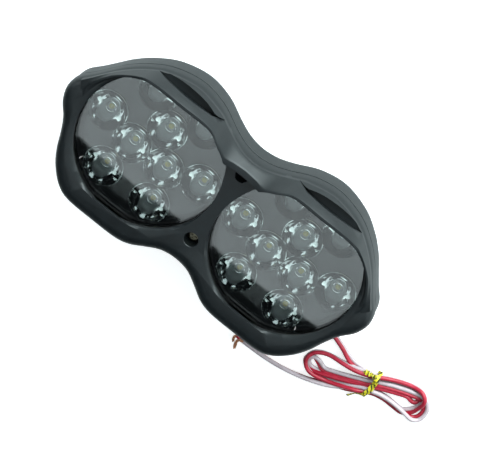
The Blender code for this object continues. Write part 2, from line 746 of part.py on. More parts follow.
def lead_hank():
    """Outer shape of the tied hank: two round ends and a narrow waist, with a step for each lead end."""
    right = through(((3.0, -5.2), (8.0, -6.6), (16.5, -9.0), (25.0, -11.2), (30.6, -8.4), (32.5, -2.0),
                     (30.0, 5.0), (25.0, 8.8), (18.0, 9.6), (9.0, 7.8), (3.0, 5.2)), 2)
    left = through(((-14.6, 5.3), (-20.0, 6.0), (-25.5, 6.6), (-31.0, 4.5), (-35.4, -0.5), (-35.0, -5.0),
                    (-31.0, -8.5), (-24.0, -8.6), (-16.0, -6.2), (-11.8, -5.4)), 2)
    upper_step = [Vector((-3.0, 5.2)), Vector((-7.0, 8.2)), Vector((-10.6, 9.4)), Vector((-10.6, 5.1))]
    lower_step = [Vector((-11.8, -10.0)), Vector((-6.0, -7.6)), Vector((-3.0, -5.2))]
    loop = hank_place(right + upper_step + left + lower_step)
    return prism("lead_hank", loop, *HANK_Z)


def twist_tie():
    """Band round the hank's waist, with one free end along the surface."""
    half = 5.2 + GAP + 0.2
    low = HANK_Z[0] - GAP - TIE_THICKNESS
    high = HANK_Z[1] + GAP + TIE_THICKNESS
    outer = half + TIE_THICKNESS
    loop = [Vector((-outer, low)), Vector((outer, low)), Vector((outer, high)), Vector((-outer, high))]
    hole = [Vector((-half, low + TIE_THICKNESS)), Vector((half, low + TIE_THICKNESS)),
            Vector((half, high - TIE_THICKNESS)), Vector((-half, high - TIE_THICKNESS))]
    band = prism("twist_tie", loop, -TIE_WIDTH / 2, TIE_WIDTH / 2, False)
    cut(band, prism("hole", hole, -TIE_WIDTH, TIE_WIDTH, False))
    # the prism's X, Y and Z become across the hank, up, and along the hank
    axes = Matrix(((0, 0, 1, 0), (1, 0, 0, 0), (0, 1, 0, 0), (0, 0, 0, 1)))
    band.data.transform(axes)
    tail = box("tail", (-1.0, -outer - 9.0, low), (1.0, -outer + 0.5, low + TIE_THICKNESS))
    turn = Matrix.Rotation(math.radians(-32.0), 4, "Z")
    pivot = Matrix.Translation(Vector((0.0, -outer, 0.0)) * MM)
    tail.data.transform(pivot @ turn @ pivot.inverted())
    join(band, tail)
    place = Matrix.Translation(Vector((*HANK_CENTRE, 0.0)) * MM) @ Matrix.Rotation(HANK_ANGLE, 4, "Z")
    band.data.transform(place)
    return band


# ---------------------------------------------------------------- assembly

def assign(objects, made):
    for obj in objects:
        obj.data.materials.clear()
        obj.data.materials.append(made)


def frame_empty(name, z):
    empty = bpy.data.objects.new(name, None)
    empty.location = (0.0, CENTRE_SHIFT * MM, z * MM)
    bpy.context.collection.objects.link(empty)
    return empty


def build_chamber(side, side_name):
    """Everything behind one window, as a dictionary of lists by material."""
    centre = (side * CHAMBER_X, 0.0)
    leds = []
    for i, (x, y) in enumerate(lens_places(), 1):
        leds.append(led(f"led_{side_name}_{i}", (centre[0] + x, centre[1] + y)))
    screws = []
    for i, place in enumerate(board_screw_places(centre), 1):
        head = (BOARD_Z[1] + GAP, BOARD_Z[1] + GAP + 1.8)
        screws.append(screw(f"board_screw_{side_name}_{i}", place, head, FLOOR_Z + GAP, (2.5, 1.2)))
    return {
        "clear": [clear_cover(f"clear_cover_{side_name}", centre)],
        "optic": [lens_array(f"lens_array_{side_name}", centre)],
        "rubber": [cover_gasket(f"cover_gasket_{side_name}", centre)],
        "holder": [lens_holder(f"lens_holder_{side_name}", centre)],
        "board": [round_plate(f"led_board_{side_name}", centre, BOARD_Z)],
        "aluminium": [round_plate(f"heat_plate_{side_name}", centre, HEAT_PLATE_Z)],
        "led": leds,
        "steel": screws,
    }


def main():
    for obj in list(bpy.data.objects):
        bpy.data.objects.remove(obj)
    colours = {
        "shell": material("shell_black", (0.03, 0.034, 0.036), 0.5),
        "holder": material("holder_black", (0.02, 0.02, 0.022), 0.35),
        "rubber": material("rubber_black", (0.015, 0.015, 0.015), 0.8),
        "clear": material("clear_cover", (0.95, 0.96, 0.97), 0.05, 0.0, 0.2),
        "optic": material("clear_optic", (0.92, 0.95, 0.96), 0.05, 0.0, 0.4),
        "led": material("led_phosphor", (0.86, 0.78, 0.42), 0.5),
        "board": material("board_white", (0.75, 0.76, 0.76), 0.4),
        "aluminium": material("aluminium", (0.62, 0.63, 0.64), 0.45, 1.0),
        "steel": material("zinc_steel", (0.6, 0.58, 0.52), 0.35, 1.0),
        "driver": material("driver_green", (0.03, 0.16, 0.07), 0.45),
        "component": material("component_dark", (0.05, 0.05, 0.055), 0.5),
        "red": material("lead_red", (0.6, 0.03, 0.06), 0.4),
        "white": material("lead_pale", (0.85, 0.74, 0.76), 0.4),
        "tie": material("tie_yellow", (0.75, 0.68, 0.05), 0.45),
        "copper": material("copper", (0.72, 0.42, 0.26), 0.35, 1.0),
    }
    lamp = {key: [] for key in colours}
    outline = lamp_outline()
    lamp["shell"] += [front_bezel(outline), rear_housing(outline)]
    lamp["rubber"] += [body_gasket(outline), cable_gland()]
    for side, side_name in ((1, "right"), (-1, "left")):
        for key, pieces in build_chamber(side, side_name).items():
            lamp[key] += pieces
    for i, place in enumerate(screw_places(), 1):
        head = (HOUSING_BACK_Z + 2.7, HOUSING_BACK_Z + 0.5)
        lamp["steel"].append(screw(f"rear_screw_{i}", place, head, 4.8, (2.75, SCREW_SHANK_RADIUS)))
    head = (CENTRE_SEAT_Z + GAP, CENTRE_SEAT_Z + GAP + 2.0)
    lamp["steel"].append(screw("centre_screw", (0.0, CENTRE_SCREW_Y), head, -13.8, (3.1, SCREW_SHANK_RADIUS)))
    lamp["steel"] += [mounting_stay()] + pivot_hardware()
    board, chip, inductor, capacitor = driver_parts()
    lamp["driver"].append(board)
    lamp["component"] += [chip, inductor]
    lamp["aluminium"].append(capacitor)
    lamp["red"] += [link_lead(), inner_lead()]

    cord = {key: [] for key in colours}
    cord["red"] += [tube("lead_out", LEAD_OUT, LEAD_RADIUS), lead_hank()]
    cord["white"].append(tube("lead_tail", LEAD_TAIL, LEAD_RADIUS))
    cord["tie"].append(twist_tie())
    cord["copper"] += [tube("bare_end_red", BARE_RED, BARE_RADIUS), tube("bare_end_white", BARE_WHITE, BARE_RADIUS)]

    for groups, empty in ((lamp, frame_empty("lamp_frame", LENS_HEIGHT)), (cord, frame_empty("floor_frame", 0.0))):
        for key, pieces in groups.items():
            assign(pieces, colours[key])
            for piece in pieces:
                piece.parent = empty


main()
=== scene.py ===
"""Looks for the twin-chamber driving lamp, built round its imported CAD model.

Lengths are in millimetres in the lamp's own frame (Z = 0 at the lens faces, origin midway between the
windows) and are turned into metres in the row frame when a mesh is made.  Pieces of the lead are drawn
with Z = 0 on the floor instead.  The camera, the lights and the floor are in metres.
"""

import json
import math
import random

import bmesh
import bpy
from mathutils import Matrix, Quaternion, Vector


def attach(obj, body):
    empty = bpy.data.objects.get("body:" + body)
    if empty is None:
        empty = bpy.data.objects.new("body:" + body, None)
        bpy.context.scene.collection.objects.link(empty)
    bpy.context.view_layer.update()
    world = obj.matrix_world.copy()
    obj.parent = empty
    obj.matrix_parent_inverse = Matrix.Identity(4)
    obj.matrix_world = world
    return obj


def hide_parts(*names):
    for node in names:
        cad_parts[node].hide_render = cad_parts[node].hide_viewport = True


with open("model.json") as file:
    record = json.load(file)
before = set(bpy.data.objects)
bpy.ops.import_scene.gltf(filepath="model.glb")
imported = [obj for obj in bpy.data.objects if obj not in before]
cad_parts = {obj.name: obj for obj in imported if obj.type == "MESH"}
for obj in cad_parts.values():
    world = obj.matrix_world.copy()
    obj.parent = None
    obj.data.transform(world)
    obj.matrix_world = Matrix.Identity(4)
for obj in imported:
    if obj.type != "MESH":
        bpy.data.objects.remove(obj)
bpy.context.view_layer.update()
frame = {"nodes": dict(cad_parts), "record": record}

MM = 0.001
CENTRE_SHIFT = 3.077
LENS_HEIGHT = 30.0
LAMP = "lamp"
nodes = frame["nodes"]
scene = bpy.context.scene


# ---------------------------------------------------------------- camera, lights, surroundings

CAMERA_PLACE = (-0.00392, 0.41993, 0.90657)
CAMERA_TURN = (0.919081, -0.213339, 0.061583, 0.325552)
FOCAL_LENGTH = 143.426
FLOOR_HALF = 2.5
FLOOR_DROP = -0.0002            # the floor lies just under the pieces that rest on it


def make_camera():
    data = bpy.data.cameras.new("camera")
    data.sensor_width = 36.0
    data.lens = FOCAL_LENGTH
    data.clip_start = 0.01
    data.clip_end = 50.0
    camera = bpy.data.objects.new("camera", data)
    camera.location = CAMERA_PLACE
    camera.rotation_mode = "QUATERNION"
    camera.rotation_quaternion = Quaternion(CAMERA_TURN)
    scene.collection.objects.link(camera)
    scene.camera = camera


def area_light(name, azimuth, elevation, distance, size, power, colour):
    """An area light seen from the lamp at the given azimuth (from +X) and elevation, in degrees."""
    data = bpy.data.lights.new(name, "AREA")
    data.shape = "RECTANGLE"
    data.size = size[0]
    data.size_y = size[1]
    data.energy = power
    data.color = colour
    light = bpy.data.objects.new(name, data)
    a, e = math.radians(azimuth), math.radians(elevation)
    away = Vector((math.cos(a) * math.cos(e), math.sin(a) * math.cos(e), math.sin(e)))
    light.location = away * distance
    light.rotation_mode = "QUATERNION"
    light.rotation_quaternion = away.to_track_quat("Z", "Y")
    scene.collection.objects.link(light)


def make_world():
    """White where the camera sees it; as light, bright toward the visor side and nearly black elsewhere."""
    world = bpy.data.worlds.new("studio")
    world.use_nodes = True
    tree = world.node_tree
    tree.nodes.clear()
    out = tree.nodes.new("ShaderNodeOutputWorld")
    seen = tree.nodes.new("ShaderNodeBackground")
    seen.inputs["Color"].default_value = (1.0, 1.0, 1.0, 1.0)
    seen.inputs["Strength"].default_value = 1.0
    lit = tree.nodes.new("ShaderNodeBackground")
    lit.inputs["Strength"].default_value = 1.0
    coords = tree.nodes.new("ShaderNodeTexCoord")
    toward = tree.nodes.new("ShaderNodeVectorMath")
    toward.operation = "DOT_PRODUCT"
    toward.inputs[1].default_value = (0.1, 0.98, 0.15)
    ramp = tree.nodes.new("ShaderNodeValToRGB")
    ramp.color_ramp.elements[0].position = 0.2
    ramp.color_ramp.elements[0].color = (0.012, 0.015, 0.017, 1.0)
    ramp.color_ramp.elements[1].position = 0.75
    ramp.color_ramp.elements[1].color = (1.7, 2.0, 2.0, 1.0)
    path = tree.nodes.new("ShaderNodeLightPath")
    mix = tree.nodes.new("ShaderNodeMixShader")
    links = tree.links
    links.new(coords.outputs["Generated"], toward.inputs[0])
    links.new(toward.outputs["Value"], ramp.inputs["Fac"])
    links.new(ramp.outputs["Color"], lit.inputs["Color"])
    links.new(path.outputs["Is Camera Ray"], mix.inputs[0])
    links.new(lit.outputs[0], mix.inputs[1])
    links.new(seen.outputs[0], mix.inputs[2])
    links.new(mix.outputs[0], out.inputs["Surface"])
    scene.world = world


def make_floor():
    """Matt white sheet with some glow of its own, which only the camera sees."""
    corners = [(x * FLOOR_HALF, y * FLOOR_HALF, FLOOR_DROP) for x, y in ((-1, -1), (1, -1), (1, 1), (-1, 1))]
    mesh = bpy.data.meshes.new("floor")
    mesh.from_pydata(corners, [], [(0, 1, 2, 3)])
    floor = bpy.data.objects.new("floor", mesh)
    scene.collection.objects.link(floor)
    made = bpy.data.materials.new("floor_white")
    made.use_nodes = True
    tree = made.node_tree
    tree.nodes.clear()
    out = tree.nodes.new("ShaderNodeOutputMaterial")
    paper = tree.nodes.new("ShaderNodeBsdfDiffuse")
    paper.inputs["Color"].default_value = (0.8, 0.8, 0.8, 1.0)
    glow = tree.nodes.new("ShaderNodeEmission")
    path = tree.nodes.new("ShaderNodeLightPath")
    scale = tree.nodes.new("ShaderNodeMath")
    scale.operation = "MULTIPLY"
    scale.inputs[1].default_value = 0.7
    both = tree.nodes.new("ShaderNodeAddShader")
    links = tree.links
    links.new(path.outputs["Is Camera Ray"], scale.inputs[0])
    links.new(scale.outputs[0], glow.inputs["Strength"])
    links.new(paper.outputs[0], both.inputs[0])
    links.new(glow.outputs[0], both.inputs[1])
    links.new(both.outputs[0], out.inputs["Surface"])
    mesh.materials.append(made)


# ---------------------------------------------------------------- curves and outlines

OUTLINE = ((0.0, -37.3), (8.0, -38.6), (15.0, -42.6), (22.0, -47.0), (30.0, -49.2), (45.0, -49.5),
           (60.0, -49.0), (68.0, -45.6), (75.0, -38.4), (79.5, -30.5), (82.5, -22.5), (86.0, -15.0),
           (91.0, -8.0), (93.2, -0.5), (91.5, 6.0), (86.5, 12.0), (81.5, 18.5), (76.0, 25.5),
           (68.0, 33.0), (57.0, 39.8), (42.0, 43.4), (28.0, 41.0), (16.0, 35.0), (8.0, 31.8),
           (0.0, 30.7))
OUTLINE_STEPS = 110

CREASE = ((3.0, -2.0), (3.7, -10.0), (6.2, -19.0), (10.5, -26.5), (16.0, -32.3), (23.0, -36.3),
          (31.0, -37.7), (45.0, -38.0), (59.0, -37.6), (65.0, -36.3), (70.5, -33.8), (75.5, -30.0),
          (79.0, -26.0), (81.5, -21.0), (83.2, -15.0), (84.2, -8.0), (84.4, 0.0), (83.4, 8.5),
          (80.6, 15.8), (75.0, 23.8), (66.5, 31.2), (58.5, 34.7), (42.0, 35.2), (25.5, 34.7),
          (18.0, 30.0), (12.0, 25.0), (8.0, 19.0), (4.9, 11.0), (3.3, 4.0))

# foot x and y, lip x and y, lip height
VISOR = ((89.0, 8.5, 84.6, 1.5, 8.6), (86.0, 12.2, 83.4, 8.5, 9.6), (81.0, 18.8, 80.6, 15.8, 11.0),
         (75.5, 25.6, 75.0, 23.8, 13.5), (67.5, 33.0, 66.5, 31.2, 17.5), (57.5, 39.2, 58.5, 34.7, 21.0),
         (42.0, 43.0, 42.0, 35.2, 22.0), (27.5, 40.5, 25.5, 34.7, 21.2), (19.5, 36.8, 18.0, 30.0, 19.5),
         (12.5, 33.3, 12.0, 25.6, 16.5), (6.0, 31.0, 6.0, 25.2, 14.2), (0.0, 30.3, 0.0, 25.4, 13.5))

CHAMBER_X = 41.85
LENS_PITCH = 20.0
OUTER_SHARE = 0.748             # of the radius of a ring of twelve lenses at that pitch
SEAM_Z = -1.0
RIM_Z = 8.8
FLANGE_Z = 7.1
POCKET_RADIUS = 40.3
WINDOW_RADIUS = 38.8
WINDOW_TOP_Y = 35.2


def spline_point(a, b, c, d, t):
    return 0.5 * ((2 * b) + (c - a) * t + (2 * a - 5 * b + 4 * c - d) * t * t
                  + (3 * b - a - 3 * c + d) * t ** 3)


def through(points, steps, closed=False):
    """A smooth line through the points, with the given steps between two of them."""
    places = [Vector(p) for p in points]
    count = len(places)
    line = []
    for i in range(count if closed else count - 1):
        if closed:
            near = [places[(i + k) % count] for k in (-1, 0, 1, 2)]
        else:
            padded = [places[0] * 2 - places[1]] + places + [places[-1] * 2 - places[-2]]
            near = [padded[i + k] for k in range(4)]
        line += [spline_point(*near, s / steps) for s in range(steps)]
    if not closed:
        line.append(places[-1])
    return line


def evenly(line, count):
    """The line resampled to the given number of equal steps."""
    lengths = [0.0]
    for a, b in zip(line, line[1:]):
        lengths.append(lengths[-1] + (b - a).length)
    places = []
    k = 0
    for i in range(count + 1):
        target = lengths[-1] * i / count
        while k < len(line) - 2 and lengths[k + 1] < target:
            k += 1
        t = (target - lengths[k]) / (lengths[k + 1] - lengths[k])
        places.append(line[k].lerp(line[k + 1], min(max(t, 0.0), 1.0)))
    return places


def lamp_outline():
    mirrored = [(-x, y) for x, y in OUTLINE]
    whole = through([mirrored[1]] + list(OUTLINE) + [mirrored[-2]], 16)
    half = evenly(whole[16:-16], OUTLINE_STEPS)
    half[0].x = 0.0
    half[-1].x = 0.0
    return half + [Vector((-p.x, p.y)) for p in reversed(half[1:-1])]


def inset(loop, distance):
    """The anticlockwise closed loop moved inwards."""
    count = len(loop)
    moved = []
    for i, place in enumerate(loop):
        along = (loop[(i + 1) % count] - loop[i - 1]).normalized()
        moved.append(Vector((place.x - along.y * distance, place.y + along.x * distance)))
    return moved


def circle(radius, count, centre=(0.0, 0.0)):
    steps = [2 * math.pi * i / count for i in range(count)]
    return [Vector((centre[0] + radius * math.cos(a), centre[1] + radius * math.sin(a))) for a in steps]


def at_height(loop, z):
    return [Vector((p.x, p.y, z)) for p in loop]


def lens_places():
    inner = LENS_PITCH / math.sqrt(3.0)
    outer = LENS_PITCH / (2.0 * math.sin(math.radians(15.0))) * OUTER_SHARE
    spots = [(inner, a) for a in (90, 210, 330)] + [(outer, a) for a in range(0, 360, 60)]
    return [(reach * math.cos(math.radians(a)), reach * math.sin(math.radians(a))) for reach, a in spots]


# ---------------------------------------------------------------- meshes

def row_point(p, base=LENS_HEIGHT):
    return Vector((p[0], p[1] + CENTRE_SHIFT, p[2] + base)) * MM


def new_object(name, verts, faces, smooth_angle=35.0, base=LENS_HEIGHT):
    bm = bmesh.new()
    made = [bm.verts.new(row_point(v, base)) for v in verts]
    for face in faces:
        bm.faces.new([made[i] for i in face])
    bmesh.ops.recalc_face_normals(bm, faces=bm.faces)
    mesh = bpy.data.meshes.new(name)
    bm.to_mesh(mesh)
    bm.free()
    obj = bpy.data.objects.new(name, mesh)
    scene.collection.objects.link(obj)
    smooth(obj, smooth_angle)
    return obj


def smooth(obj, angle):
    if angle:
        obj.data.shade_smooth()
        obj.data.set_sharp_from_angle(angle=math.radians(angle))


def loft(name, rings, base=LENS_HEIGHT, angle=35.0):
    size = len(rings[0])
    verts = [p for ring in rings for p in ring]
    faces = []
    for r in range(len(rings) - 1):
        for i in range(size):
            j = (i + 1) % size
            faces.append((r * size + i, r * size + j, (r + 1) * size + j, (r + 1) * size + i))
    faces.append(tuple(range(size)))
    faces.append(tuple((len(rings) - 1) * size + i for i in range(size)))
    return new_object(name, verts, faces, angle, base)


def prism(name, loop, low, high, angle=35.0):
    return loft(name, [at_height(loop, low), at_height(loop, high)], LENS_HEIGHT, angle)


def turned(name, profile, count=48, centre=(0.0, 0.0), angle=35.0):
    """A solid turned about a vertical axis; profile holds (radius, z)."""
    verts = []
    rows = []
    caps = []
    places = list(profile)
    if places[0][0] == 0.0 and places[0][1] == places[1][1]:
        places.pop(0)
        caps.append(0)
    if places[-1][0] == 0.0 and places[-1][1] == places[-2][1]:
        places.pop()
        caps.append(-1)
    for radius, z in places:
        if radius == 0.0:
            rows.append([len(verts)] * count)
            verts.append((centre[0], centre[1], z))
        else:
            rows.append(list(range(len(verts), len(verts) + count)))
            verts += [(p.x, p.y, z) for p in circle(radius, count, centre)]
    pairs = list(zip(rows, rows[1:]))
    if profile[0][0] > 0.0:
        pairs.append((rows[-1], rows[0]))
    faces = [tuple(rows[end]) for end in caps]
    for low, high in pairs:
        for i in range(count):
            j = (i + 1) % count
            corners = []
            for k in (low[i], low[j], high[j], high[i]):
                if k not in corners:
                    corners.append(k)
            if len(corners) > 2:
                faces.append(tuple(corners))
    return new_object(name, verts, faces, angle)


def box(name, low, high):
    x, y, z = zip(low, high)
    loop = [Vector((x[0], y[0])), Vector((x[1], y[0])), Vector((x[1], y[1])), Vector((x[0], y[1]))]
    return prism(name, loop, z[0], z[1], 0.0)


def combine(target, tools, operation, angle=35.0):
    for tool in tools:
        modifier = target.modifiers.new("combine", "BOOLEAN")
        modifier.operation = operation
        modifier.solver = "EXACT"
        modifier.object = tool
        graph = bpy.context.evaluated_depsgraph_get()
        mesh = bpy.data.meshes.new_from_object(target.evaluated_get(graph))
        target.modifiers.clear()
        bm = bmesh.new()
        bm.from_mesh(mesh)
        bmesh.ops.remove_doubles(bm, verts=bm.verts, dist=2e-6)
        bmesh.ops.dissolve_degenerate(bm, edges=bm.edges, dist=2e-6)
        bm.to_mesh(mesh)
        bm.free()
        old = target.data
        target.data = mesh
        mesh.name = target.name
        bpy.data.meshes.remove(old)
        bpy.data.meshes.remove(tool.data)
    smooth(target, angle)
    return target


def cut(target, *tools):
    return combine(target, tools, "DIFFERENCE")


def join(target, *tools):
    return combine(target, tools, "UNION")


def turn_to_x(obj, centre):
    """Turns a piece made about the row frame's Z axis so that it lies along X through the given point."""
    start = Matrix.Translation(-row_point((0.0, 0.0, 0.0)))
    turn = Matrix.Translation(row_point(centre)) @ Matrix.Rotation(math.pi / 2, 4, "Y") @ start
    obj.data.transform(turn)
    return obj


def settle(obj, made, slot, *replaced, body=LAMP):
    """Gives a finished piece its material and body, and hides the CAD nodes that it stands for; the slot is
    not used.
    """
    for one in made if isinstance(made, (list, tuple)) else [made]:
        obj.data.materials.append(one)
    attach(obj, body)
    if replaced:
        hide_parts(*replaced)
    return obj


# ---------------------------------------------------------------- materials

GRAIN_DEPTH = 0.00005           # metres


def grained(name, dark, light, roughness=(0.4, 0.5), grain=900.0, bump=0.0, bump_scale=2500.0, metallic=0.0,
            specular=0.5):
    """A Principled material whose colour, roughness and surface vary with noise in the piece's space."""
    made = bpy.data.materials.new(name)
    made.use_nodes = True
    tree = made.node_tree
    shader = tree.nodes["Principled BSDF"]
    shader.inputs["Metallic"].default_value = metallic
    shader.inputs["Specular IOR Level"].default_value = specular
    coords = tree.nodes.new("ShaderNodeTexCoord")
    noise = tree.nodes.new("ShaderNodeTexNoise")
    noise.inputs["Scale"].default_value = grain
    noise.inputs["Detail"].default_value = 4.0
    ramp = tree.nodes.new("ShaderNodeValToRGB")
    ramp.color_ramp.elements[0].position = 0.3
    ramp.color_ramp.elements[0].color = (*dark, 1.0)
    ramp.color_ramp.elements[1].position = 0.7
    ramp.color_ramp.elements[1].color = (*light, 1.0)
    spread = tree.nodes.new("ShaderNodeMapRange")
    spread.inputs["To Min"].default_value = roughness[0]
    spread.inputs["To Max"].default_value = roughness[1]
    links = tree.links
    links.new(coords.outputs["Object"], noise.inputs["Vector"])
    links.new(noise.outputs["Fac"], ramp.inputs["Fac"])
    links.new(ramp.outputs["Color"], shader.inputs["Base Color"])
    links.new(noise.outputs["Fac"], spread.inputs["Value"])
    links.new(spread.outputs["Result"], shader.inputs["Roughness"])
    if bump:
        fine = tree.nodes.new("ShaderNodeTexNoise")
        fine.inputs["Scale"].default_value = bump_scale
        fine.inputs["Detail"].default_value = 3.0
        raised = tree.nodes.new("ShaderNodeBump")
        raised.inputs["Strength"].default_value = bump
        raised.inputs["Distance"].default_value = GRAIN_DEPTH
        links.new(coords.outputs["Object"], fine.inputs["Vector"])
        links.new(fine.outputs["Fac"], raised.inputs["Height"])
        links.new(raised.outputs["Normal"], shader.inputs["Normal"])
    return made


WAVE_PERIOD = 0.314             # metres from band to band of a wave texture of scale 1


def striped(name, light, dark, period, share):
    """A satin material in two colours, in bands across the piece."""
    made = grained(name, light, light, (0.3, 0.45), 700.0)
    tree = made.node_tree
    wave = tree.nodes.new("ShaderNodeTexWave")
    wave.bands_direction = "DIAGONAL"
    wave.inputs["Scale"].default_value = WAVE_PERIOD / period
    wave.inputs["Distortion"].default_value = 1.5
    coords = tree.nodes.new("ShaderNodeTexCoord")
    ramp = tree.nodes.new("ShaderNodeValToRGB")
    ramp.color_ramp.elements[0].position = share
    ramp.color_ramp.elements[0].color = (*dark, 1.0)
    ramp.color_ramp.elements[1].position = share + 0.12
    ramp.color_ramp.elements[1].color = (*light, 1.0)
    links = tree.links
    links.new(coords.outputs["Object"], wave.inputs["Vector"])
    links.new(wave.outputs["Fac"], ramp.inputs["Fac"])
    links.new(ramp.outputs["Color"], tree.nodes["Principled BSDF"].inputs["Base Color"])
    return made


def clear_window(name, ior):
    """Thin clear plastic: what is behind shows unbent, and each face mirrors as its angle says."""
    made = bpy.data.materials.new(name)
    made.use_nodes = True
    tree = made.node_tree
    tree.nodes.clear()
    out = tree.nodes.new("ShaderNodeOutputMaterial")
    through_it = tree.nodes.new("ShaderNodeBsdfTransparent")
    through_it.inputs["Color"].default_value = (1.0, 1.0, 1.0, 1.0)
    mirror = tree.nodes.new("ShaderNodeBsdfGlossy")
    noise = tree.nodes.new("ShaderNodeTexNoise")
    noise.inputs["Scale"].default_value = 60.0
    spread = tree.nodes.new("ShaderNodeMapRange")
    spread.inputs["To Min"].default_value = 0.02
    spread.inputs["To Max"].default_value = 0.05
    coords = tree.nodes.new("ShaderNodeTexCoord")
    fresnel = tree.nodes.new("ShaderNodeFresnel")
    fresnel.inputs["IOR"].default_value = ior
    mix = tree.nodes.new("ShaderNodeMixShader")
    links = tree.links
    links.new(coords.outputs["Object"], noise.inputs["Vector"])
    links.new(noise.outputs["Fac"], spread.inputs["Value"])
    links.new(spread.outputs["Result"], mirror.inputs["Roughness"])
    links.new(fresnel.outputs[0], mix.inputs[0])
    links.new(through_it.outputs[0], mix.inputs[1])
    links.new(mirror.outputs[0], mix.inputs[2])
    links.new(mix.outputs[0], out.inputs["Surface"])
    return made


def optic(name, mirrors):
    """Solid clear acrylic that bends light, and lets lamps reach what is behind it."""
    made = bpy.data.materials.new(name)
    made.use_nodes = True
    tree = made.node_tree
    tree.nodes.clear()
    out = tree.nodes.new("ShaderNodeOutputMaterial")
    if mirrors:
        glass = tree.nodes.new("ShaderNodeBsdfGlass")
    else:
        glass = tree.nodes.new("ShaderNodeBsdfRefraction")
    glass.inputs["IOR"].default_value = 1.49
    glass.inputs["Roughness"].default_value = 0.0
    glass.inputs["Color"].default_value = (0.96, 0.985, 0.98, 1.0)
    lamps = tree.nodes.new("ShaderNodeBsdfTransparent")
    lamps.inputs["Color"].default_value = (0.94, 0.96, 0.97, 1.0)
    path = tree.nodes.new("ShaderNodeLightPath")
    mix = tree.nodes.new("ShaderNodeMixShader")
    links = tree.links
    links.new(path.outputs["Is Shadow Ray"], mix.inputs[0])
    links.new(glass.outputs[0], mix.inputs[1])
    links.new(lamps.outputs[0], mix.inputs[2])
    links.new(mix.outputs[0], out.inputs["Surface"])
    return made


# ---------------------------------------------------------------- bezel

VISOR_ROOT_Z = 5.0              # the visor starts inside the bezel's rim
LIP_WIDTH = 1.5
BROW_MIDDLE = 42.4
BROW_HALF = 13.9
BROW_FLOOR_Z = 8.0
BROW_EDGE_Z = 15.8              # where the undercut starts
BROW_UNDERCUT = 2.8
BROW_TIPS = ((22.3, 38.5), (61.8, 37.2))
SCREW_HOLE = (0.0, -22.0)
SCREW_HOLE_RADIUS = 3.7
SCREW_SEAT_Z = 0.6
SLOT = ((-2.2, 18.7), (-0.8, 18.2), (0.8, 18.2), (2.2, 18.7), (3.7, 21.4), (-3.7, 21.4))
TOOL_TOP_Z = 30.0               # above everything that is cut


def visor_solid():
    """Both visors and the ridge between them, through sections from foot to lip."""
    stations = through([Vector(s) for s in VISOR], 8)
    stations += [Vector((-s[0], s[1], -s[2], s[3], s[4])) for s in reversed(stations[:-1])]
    rings = []
    for foot_x, foot_y, lip_x, lip_y, lip_z in stations:
        foot = Vector((foot_x, foot_y))
        lip = Vector((lip_x, lip_y))
        outward = (foot - lip).normalized()
        crest = lip + outward * min(LIP_WIDTH, (foot - lip).length * 0.6)
        shoulder = foot.lerp(crest, 0.08)
        inner = lip - outward * LIP_WIDTH
        rise = lip_z - RIM_Z
        section = ((foot - outward * 0.4, VISOR_ROOT_Z), (foot - outward * 0.2, RIM_Z - 1.2),
                   (foot.lerp(crest, 0.03), RIM_Z - 0.3),
                   (shoulder, RIM_Z + 0.3), (foot.lerp(crest, 0.3), RIM_Z + rise * 0.29),
                   (foot.lerp(crest, 0.55), RIM_Z + rise * 0.55),
                   (foot.lerp(crest, 0.8), RIM_Z + rise * 0.8),
                   (foot.lerp(crest, 0.95), RIM_Z + rise * 0.955),
                   (crest, lip_z - 0.12), (crest.lerp(lip, 0.25), lip_z),
                   (inner, lip_z), (inner, VISOR_ROOT_Z))
        rings.append([Vector((p.x, p.y, z)) for p, z in section])
    return loft("visor", rings)


def window_cutter(side):
    """Round hole at the cover's seat that opens out to the crease round one window."""
    crease = through([Vector(p) for p in CREASE], 5, True)
    round_edge = []
    for p in crease:
        away = Vector((p.x - CHAMBER_X, p.y))
        place = away.normalized() * WINDOW_RADIUS
        if place.y > WINDOW_TOP_Y:
            place *= WINDOW_TOP_Y / place.y
        if place.length > away.length - 0.2:
            place = away * ((away.length - 0.2) / away.length)
        round_edge.append(Vector((place.x + CHAMBER_X, place.y)))
    rings = [at_height(round_edge, FLANGE_Z - 2.0), at_height(round_edge, FLANGE_Z + 0.5),
             [Vector((*a.lerp(b, 0.04), FLANGE_Z + 0.75)) for a, b in zip(round_edge, crease)],
             at_height(crease, RIM_Z + 0.5), at_height(crease, RIM_Z + TOOL_TOP_Z)]
    if side < 0:
        rings = [[Vector((-p.x, p.y, p.z)) for p in reversed(ring)] for ring in rings]
    return loft("window", rings)


def brow_cutter(side):
    """Eye-shaped pocket at the root of one visor, undercut below the visor and pointed at both ends."""
    count = 40
    near = [Vector(BROW_TIPS[0])]
    far = []
    for i in range(count + 1):
        u = 2.0 * i / count - 1.0
        near.append(Vector((BROW_MIDDLE + BROW_HALF * u, 38.85 + 0.45 * u * u)))
        far.append(Vector((BROW_MIDDLE + BROW_HALF * u, 41.8 - 2.2 * u * u)))
    near.append(Vector(BROW_TIPS[1]))
    deep = [near[0]] + [p - Vector((0.0, BROW_UNDERCUT)) for p in near[1:-1]] + [near[-1]]
    top = near + list(reversed(far))
    bottom = deep + list(reversed(far))
    if side < 0:
        top = [Vector((-p.x, p.y)) for p in reversed(top)]
        bottom = [Vector((-p.x, p.y)) for p in reversed(bottom)]
    return loft("brow", [at_height(bottom, BROW_FLOOR_Z), at_height(top, BROW_EDGE_Z),
                         at_height(top, TOOL_TOP_Z)])


